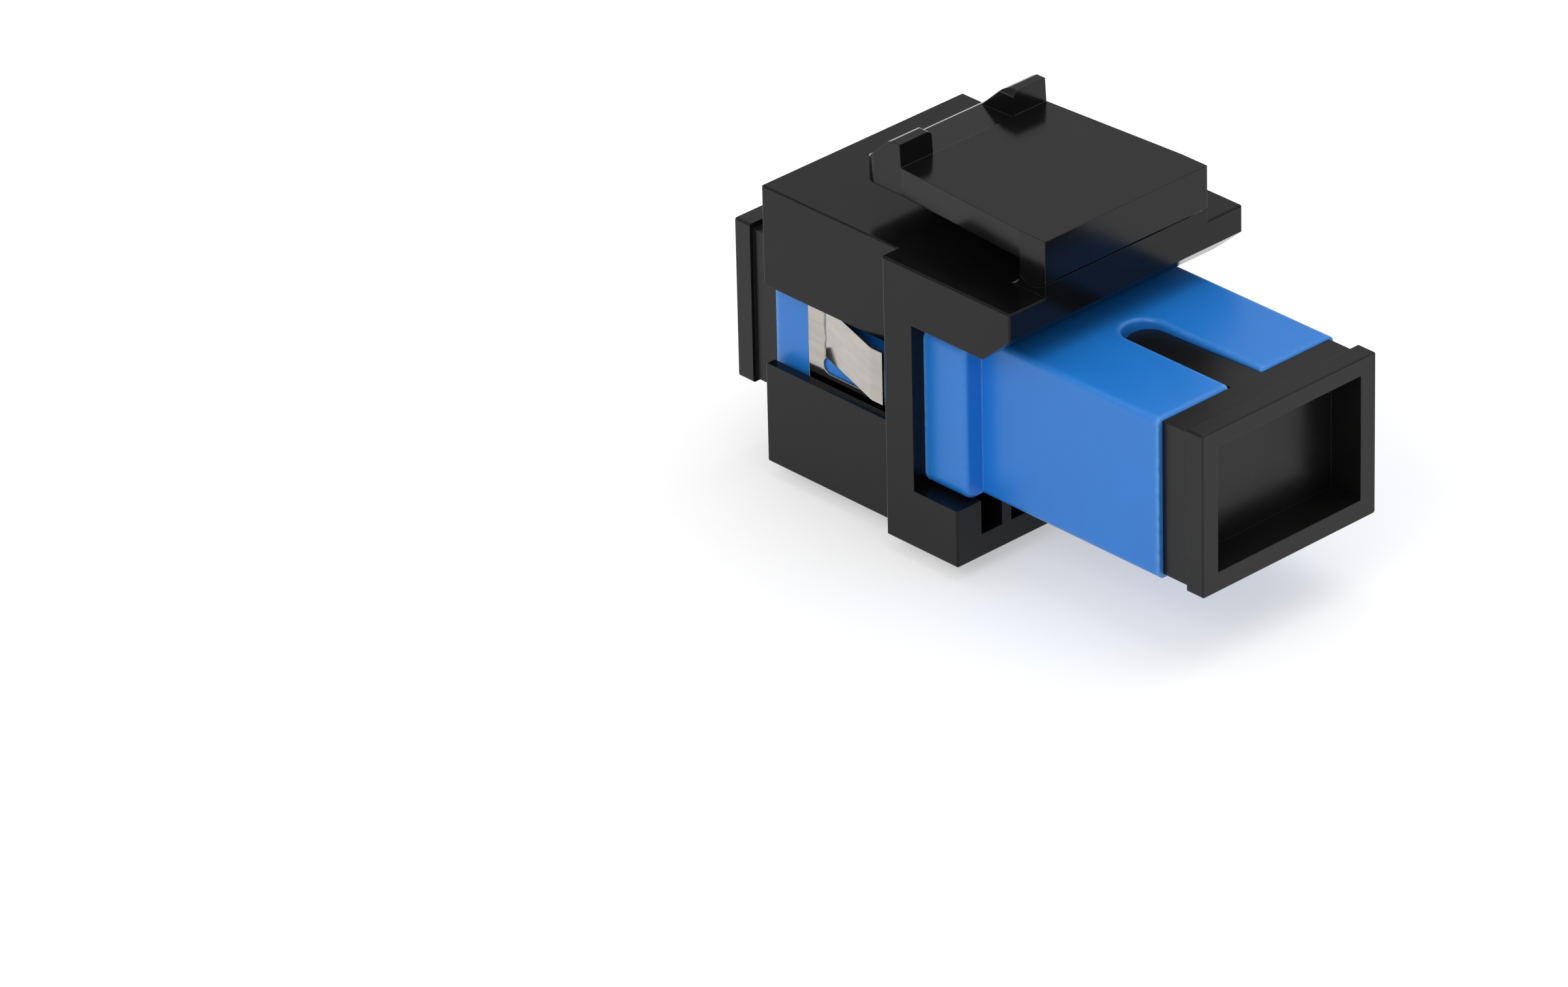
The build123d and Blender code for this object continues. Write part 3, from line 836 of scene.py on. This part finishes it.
@dataclass
class FlashCrumbs:
    """Crumbs of mould flash that cling to the edges of a moulding.

    Attributes:
        spacing: Distance between places where a crumb may sit.
        crumb_size: Radius of a middling crumb.
        kept: Share of those places that hold a crumb.
        wander: How far a crumb may sit from the edge, along each axis.
        smallest: Scale of the smallest crumb along X, Y and Z.
        largest: Scale of the largest one.
        splits: How often a crumb's faces are split, where 1 is a body of 20 faces.
        tree: The node tree that every set of crumbs uses.
    """

    spacing: float = 0.4 * MM
    crumb_size: float = 0.018 * MM
    kept: float = 0.3
    wander: float = 0.04 * MM
    smallest: Triple = (0.4, 0.4, 0.3)
    largest: Triple = (1.5, 1.5, 0.9)
    splits: int = 1
    tree: bpy.types.NodeTree = field(init=False)

    def __post_init__(self) -> None:
        """Builds the node tree."""
        self.tree = bpy.data.node_groups.new("flash_crumbs", "GeometryNodeTree")
        sockets = self.tree.interface
        sockets.new_socket("Edges", in_out="INPUT", socket_type="NodeSocketGeometry")
        for name in ("Spacing", "Crumb Size", "Kept", "Wander"):
            sockets.new_socket(name, in_out="INPUT", socket_type="NodeSocketFloat")
        sockets.new_socket("Seed", in_out="INPUT", socket_type="NodeSocketInt")
        sockets.new_socket("Material", in_out="INPUT", socket_type="NodeSocketMaterial")
        sockets.new_socket("Crumbs", in_out="OUTPUT", socket_type="NodeSocketGeometry")
        bench = NodeBench(self.tree)
        takes = bench.add("NodeGroupInput").outputs
        gives = bench.add("NodeGroupOutput").inputs
        places = self._places(bench, takes)
        bench.feed(gives["Crumbs"], self._crumbs(bench, takes, places))

    def _places(self, bench: NodeBench, takes: bpy.types.NodeOutputs) -> bpy.types.NodeSocket:
        """Spreads points along the edges, drops most of them and moves the others a little.

        Args:
            bench: The tree's bench.
            takes: The sockets that bring the tree's inputs.

        Returns:
            The socket of the points.
        """
        line = bench.add("GeometryNodeMeshToCurve", {"Mesh": takes["Edges"]})
        even = bench.add(
            "GeometryNodeResampleCurve",
            {"Curve": line.outputs["Curve"], "Length": takes["Spacing"]},
            mode="LENGTH",
        )
        points = bench.add(
            "GeometryNodeCurveToPoints", {"Curve": even.outputs["Curve"]}, mode="EVALUATED"
        )
        missing = bench.maths("SUBTRACT", 1.0, takes["Kept"])
        chance = bench.add(
            "FunctionNodeRandomValue",
            {"Probability": missing, "Seed": takes["Seed"]},
            data_type="BOOLEAN",
        )
        # A random value node has an output for every type, and its fourth one is yes or no.
        sparse = bench.add(
            "GeometryNodeDeleteGeometry",
            {"Geometry": points.outputs["Points"], "Selection": chance.outputs[3]},
            domain="POINT",
        )
        scatter = bench.add(
            "FunctionNodeRandomValue",
            {0: (-1.0, -1.0, -1.0), 1: (1.0, 1.0, 1.0), "Seed": takes["Seed"]},
            data_type="FLOAT_VECTOR",
        )
        shift = bench.add(
            "ShaderNodeVectorMath",
            {0: scatter.outputs[0], "Scale": takes["Wander"]},
            operation="SCALE",
        )
        moved = bench.add(
            "GeometryNodeSetPosition",
            {"Geometry": sparse.outputs["Geometry"], "Offset": shift.outputs[0]},
        )
        return moved.outputs["Geometry"]

    def _crumbs(
        self, bench: NodeBench, takes: bpy.types.NodeOutputs, places: bpy.types.NodeSocket
    ) -> bpy.types.NodeSocket:
        """Puts a crumb of its own size on each point.

        Args:
            bench: The tree's bench.
            takes: The sockets that bring the tree's inputs.
            places: The socket of the points.

        Returns:
            The socket of the crumbs' mesh.
        """
        crumb = bench.add(
            "GeometryNodeMeshIcoSphere",
            {"Subdivisions": self.splits, "Radius": takes["Crumb Size"]},
        )
        sizes = bench.add(
            "FunctionNodeRandomValue",
            {0: self.smallest, 1: self.largest, "Seed": takes["Seed"]},
            data_type="FLOAT_VECTOR",
        )
        placed = bench.add(
            "GeometryNodeInstanceOnPoints",
            {"Points": places, "Instance": crumb.outputs["Mesh"], "Scale": sizes.outputs[0]},
        )
        real = bench.add("GeometryNodeRealizeInstances", {"Geometry": placed.outputs["Instances"]})
        coloured = bench.add(
            "GeometryNodeSetMaterial",
            {"Geometry": real.outputs["Geometry"], "Material": takes["Material"]},
        )
        return coloured.outputs["Geometry"]

    def along(
        self,
        name: str,
        loops: list[list[Vector]],
        body: Body,
        material: bpy.types.Material,
        seed: int,
    ) -> None:
        """Scatters crumbs along closed outlines, as a plain mesh that rides on a body.

        Args:
            name: Name of the new piece.
            loops: The corners of each outline, in order.
            body: The body that the piece rides on.
            material: The crumbs' material.
            seed: Seed of this piece's scatter.
        """
        guide = self._guide(name, loops)
        modifier = guide.modifiers.new("crumbs", "NODES")
        modifier.node_group = self.tree
        values = {
            "Spacing": self.spacing,
            "Crumb Size": self.crumb_size,
            "Kept": self.kept,
            "Wander": self.wander,
            "Seed": seed,
            "Material": material,
        }
        for item in self.tree.interface.items_tree:
            if item.in_out == "INPUT" and item.name in values:
                modifier[item.identifier] = values[item.name]
        view = bpy.context.evaluated_depsgraph_get()
        baked = bpy.data.meshes.new_from_object(guide.evaluated_get(view), depsgraph=view)
        piece = bpy.data.objects.new(name, baked)
        bpy.context.collection.objects.link(piece)
        guide.modifiers.clear()
        bpy.data.objects.remove(guide)
        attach(piece, body.value)
        log.info("%s: %d faces on %s", name, len(baked.polygons), body.value)

    def _guide(self, name: str, loops: list[list[Vector]]) -> bpy.types.Object:
        """Draws the outlines as an object of bare edges.

        Args:
            name: Name of the piece that they are for.
            loops: The corners of each outline, in order.

        Returns:
            The object.
        """
        corners: list[Vector] = []
        edges: list[tuple[int, int]] = []
        for loop in loops:
            first, count = len(corners), len(loop)
            corners.extend(loop)
            edges.extend((first + i, first + (i + 1) % count) for i in range(count))
        mesh = bpy.data.meshes.new(f"{name}_edges")
        mesh.from_pydata([tuple(c) for c in corners], edges, [])
        guide = bpy.data.objects.new(f"{name}_guide", mesh)
        bpy.context.collection.objects.link(guide)
        return guide


def rectangle(low: Vector, high: Vector, y: float) -> list[Vector]:
    """Corners of an upright rectangle across the optical axis.

    Args:
        low: Its lowest corner. Only X and Z are read.
        high: Its highest corner. Only X and Z are read.
        y: Where it stands along the axis.

    Returns:
        The four corners, in order.
    """
    return [
        Vector((low.x, y, low.z)),
        Vector((high.x, y, low.z)),
        Vector((high.x, y, high.z)),
        Vector((low.x, y, high.z)),
    ]


@dataclass
class DustCap:
    """One dust cap with its crumbs.

    Attributes:
        node: The cap's node.
        body: The body that the cap rides on.
        outward: +1 on the cable side and -1 on the room side.
        bar: Width of the bars round the recess.
        recess_depth: Depth of the recess.
        inset: How far inside the edges the crumbs sit.
    """

    node: str
    body: Body
    outward: int
    bar: float = 1.07 * MM
    recess_depth: float = 2.1 * MM
    inset: float = 0.06 * MM

    def build(self, finishes: Finishes, crumbs: FlashCrumbs, seed: int) -> None:
        """Dresses the cap.

        Args:
            finishes: The adapter's materials.
            crumbs: The maker of flash crumbs.
            seed: Seed of the crumbs' scatter.
        """
        dress_node(self.node, finishes.cap_black)
        low, high = (Vector(corner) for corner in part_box(self.node))
        face = high.y if self.outward > 0 else low.y
        slack = Vector((self.inset, 0.0, self.inset))
        bar = Vector((self.bar, 0.0, self.bar))
        rim = rectangle(low + slack, high - slack, face - self.outward * self.inset)
        lip_y = face - self.outward * crumbs.wander
        lip = rectangle(low + bar - slack, high - bar + slack, lip_y)
        floor = rectangle(low + bar, high - bar, face - self.outward * self.recess_depth)
        crumbs.along(
            f"{self.node}_flash",
            [rim, lip, floor],
            self.body,
            finishes.flash_crumb,
            seed,
        )


@dataclass
class KeystoneModule:
    """The black frame and its latch lever.

    Attributes:
        opening_half_width: Half of the width of the opening for the adapter.
        opening_low: Lower edge of that opening.
        opening_high: Upper edge of that opening.
    """

    opening_half_width: float = 6.8 * MM
    opening_low: float = -4.75 * MM
    opening_high: float = 5.0 * MM

    def build(self, finishes: Finishes, crumbs: FlashCrumbs, seed: int) -> None:
        """Dresses the frame and the lever.

        Args:
            finishes: The adapter's materials.
            crumbs: The maker of flash crumbs.
            seed: Seed of the crumbs' scatter.
        """
        dress_node("keystone_frame", finishes.frame_black)
        dress_node("latch_lever", finishes.lever_black)
        low, _ = (Vector(corner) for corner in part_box("keystone_frame"))
        mouth = rectangle(
            Vector((-self.opening_half_width, 0.0, self.opening_low)),
            Vector((self.opening_half_width, 0.0, self.opening_high)),
            low.y,
        )
        crumbs.along(
            "keystone_frame_flash", [mouth], Body.ADAPTER, finishes.flash_crumb, seed
        )


@dataclass
class FerruleCore:
    """The parts that hold and line up the ferrules inside the housings.

    Attributes:
        inserts: The nodes of the latch inserts.
        sleeve: The node of the split sleeve.
    """

    inserts: tuple[str, ...] = ("front_latch_insert", "rear_latch_insert")
    sleeve: str = "alignment_sleeve"

    def build(self, finishes: Finishes) -> None:
        """Dresses the inserts and the sleeve.

        Args:
            finishes: The adapter's materials.
        """
        for insert in self.inserts:
            dress_node(insert, finishes.insert_natural)
        dress_node(self.sleeve, finishes.zirconia)


@dataclass
class HousingPair:
    """The two blue shells and the spring clip folded over the front one.

    Attributes:
        shells: The nodes of the housings.
        clip: The node of the spring clip.
    """

    shells: tuple[str, ...] = ("front_housing", "rear_housing")
    clip: str = "spring_clip"

    def build(self, finishes: Finishes) -> None:
        """Dresses both housings and the clip.

        Args:
            finishes: The adapter's materials.
        """
        for shell in self.shells:
            dress_node(shell, finishes.housing_blue)
        dress_node(self.clip, finishes.clip_steel)


def direction(azimuth: float, elevation: float) -> Vector:
    """Direction from the adapter towards a viewer.

    Args:
        azimuth: Degrees; 0 looks at the room side and 90 has +X towards the viewer.
        elevation: Degrees above the floor.

    Returns:
        A unit vector.
    """
    turn, rise = math.radians(azimuth), math.radians(elevation)
    return Vector(
        (math.sin(turn) * math.cos(rise), -math.cos(turn) * math.cos(rise), math.sin(rise))
    )


@dataclass
class Softbox:
    """One square area lamp aimed at the adapter.

    Attributes:
        name: The lamp's name.
        azimuth: Degrees round from the room side, as the views count them.
        elevation: Degrees above the floor.
        distance: From the adapter.
        size: Side of the square.
        power: In watts.
    """

    name: str
    # azimuth: Degrees round from the room side, as direction() counts them.
    azimuth: float
    elevation: float
    distance: float
    size: float
    power: float

    def build(self) -> None:
        """Hangs the lamp."""
        lamp = bpy.data.lights.new(self.name, "AREA")
        lamp.shape = "SQUARE"
        lamp.size = self.size
        lamp.energy = self.power
        towards = direction(self.azimuth, self.elevation)
        holder = bpy.data.objects.new(self.name, lamp)
        holder.matrix_world = Matrix.Translation(towards * self.distance) @ (
            towards.to_track_quat("Z", "Y").to_matrix().to_4x4()
        )
        bpy.context.collection.objects.link(holder)


@dataclass
class PhotoCamera:
    """The camera that stands where the photograph was taken from.

    Attributes:
        azimuth: Degrees round from the room side.
        elevation: Degrees above the floor.
        roll: Degrees that the picture is turned.
        distance: From the target.
        nearest: Distance at which the camera starts to see.
        target: The point that the camera was fitted to.
        focal_px: Focal length in pixels of the photograph.
        target_px: Where the target lies in the photograph.
        photo_px: Width and height of the photograph.
        sensor_mm: Width of the sensor.
    """

    azimuth: float = 135.55
    elevation: float = 28.37
    roll: float = -0.68
    distance: float = 582.6 * MM
    nearest: float = 10.0 * MM
    target: Triple = (0.0, -1.7 * MM, 0.0)
    focal_px: float = 17131.9
    target_px: tuple[float, float] = (1578.7, 544.5)
    photo_px: tuple[int, int] = (2405, 1514)
    sensor_mm: float = 36.0

    def build(self) -> None:
        """Creates the camera and makes it the scene's own."""
        backward = direction(self.azimuth, self.elevation)
        level = Vector((0.0, 0.0, 1.0)).cross(backward).normalized()
        upright = backward.cross(level)
        tilt = math.radians(self.roll)
        right = math.cos(tilt) * level + math.sin(tilt) * upright
        up = backward.cross(right)
        lens = bpy.data.cameras.new("photo_camera")
        width, height = self.photo_px
        lens.sensor_fit = "HORIZONTAL"
        lens.sensor_width = self.sensor_mm
        lens.lens = self.focal_px / width * self.sensor_mm
        lens.shift_x = (width / 2 - self.target_px[0]) / width
        lens.shift_y = (self.target_px[1] - height / 2) / width
        lens.clip_start = self.nearest
        camera = bpy.data.objects.new("photo_camera", lens)
        place = Matrix((right, up, backward)).transposed().to_4x4()
        place.translation = Vector(self.target) + backward * self.distance
        camera.matrix_world = place
        bpy.context.collection.objects.link(camera)
        bpy.context.scene.camera = camera


@dataclass
class Studio:
    """Floor, surroundings and lamps.

    Attributes:
        floor_size: Side of the square floor.
        floor_colour: Its colour.
        floor_lift: How much brighter the floor looks, seen or mirrored, than its lit colour.
        surround: Strength of the even light from all round.
        surround_colour: Its colour.
        lamps: The lamps.
    """

    floor_size: float = 8.0
    floor_colour: Triple = (0.7, 0.7, 0.7)
    floor_lift: float = 0.45
    surround: float = 0.55
    surround_colour: Triple = (1.0, 1.0, 1.0)
    lamps: tuple[Softbox, ...] = (
        Softbox("top_softbox", azimuth=240.0, elevation=76.0, distance=0.9, size=0.7, power=2.2),
        Softbox("side_softbox", azimuth=104.0, elevation=35.0, distance=0.9, size=0.6, power=2.4),
        Softbox("back_softbox", azimuth=255.0, elevation=35.0, distance=0.9, size=0.6, power=0.5),
    )

    def build(self) -> None:
        """Lays the floor, lights the surroundings and hangs the lamps."""
        self._floor()
        world = bpy.data.worlds.new("studio")
        world.use_nodes = True
        light = world.node_tree.nodes["Background"].inputs
        light["Strength"].default_value = self.surround
        light["Color"].default_value = (*self.surround_colour, 1.0)
        bpy.context.scene.world = world
        for lamp in self.lamps:
            lamp.build()
        bpy.context.scene.view_settings.view_transform = "Standard"

    def _floor(self) -> None:
        """Lays a pale floor under the adapter's lowest point."""
        low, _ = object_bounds()
        half = self.floor_size / 2
        places = ((-half, -half), (half, -half), (half, half), (-half, half))
        mesh = bpy.data.meshes.new("floor")
        shape = bmesh.new()
        shape.faces.new([shape.verts.new((x, y, low[2])) for x, y in places])
        shape.to_mesh(mesh)
        shape.free()
        mesh.materials.append(self._floor_material())
        floor = bpy.data.objects.new("floor", mesh)
        bpy.context.collection.objects.link(floor)
        floor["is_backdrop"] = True

    def _floor_material(self) -> bpy.types.Material:
        """Makes a matt floor that looks brighter, seen or mirrored, than it is lit.

        Returns:
            The finished material.
        """
        material = bpy.data.materials.new("pale_floor")
        material.use_nodes = True
        nodes = material.node_tree.nodes
        bench = NodeBench(material.node_tree)
        shader = nodes["Principled BSDF"]
        shader.inputs["Base Color"].default_value = (*self.floor_colour, 1.0)
        shader.inputs["Roughness"].default_value = 1.0
        shader.inputs["Specular IOR Level"].default_value = 0.0
        rays = bench.add("ShaderNodeLightPath").outputs
        mirrored = bench.maths("MAXIMUM", rays["Is Glossy Ray"], rays["Is Transmission Ray"])
        looked_at = bench.maths("MAXIMUM", rays["Is Camera Ray"], mirrored)
        lift = bench.maths("MULTIPLY", looked_at, self.floor_lift)
        glow = bench.add("ShaderNodeEmission", {"Strength": lift})
        both = bench.add("ShaderNodeAddShader", {0: shader.outputs[0], 1: glow.outputs[0]})
        bench.feed(nodes["Material Output"].inputs["Surface"], both.outputs[0])
        return material


def main() -> None:
    """Builds the dressed adapter and its studio."""
    logging.basicConfig(level=logging.INFO, format="%(name)s: %(message)s")
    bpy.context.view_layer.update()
    finishes = Finishes(SurfaceEffects())
    crumbs = FlashCrumbs()
    KeystoneModule().build(finishes, crumbs, seed=11)
    HousingPair().build(finishes)
    FerruleCore().build(finishes)
    DustCap("front_dust_cap", Body.FRONT_CAP, outward=-1).build(finishes, crumbs, seed=23)
    DustCap("rear_dust_cap", Body.REAR_CAP, outward=1).build(finishes, crumbs, seed=37)
    Studio().build()
    PhotoCamera().build()


if __name__ == "__main__":
    main()
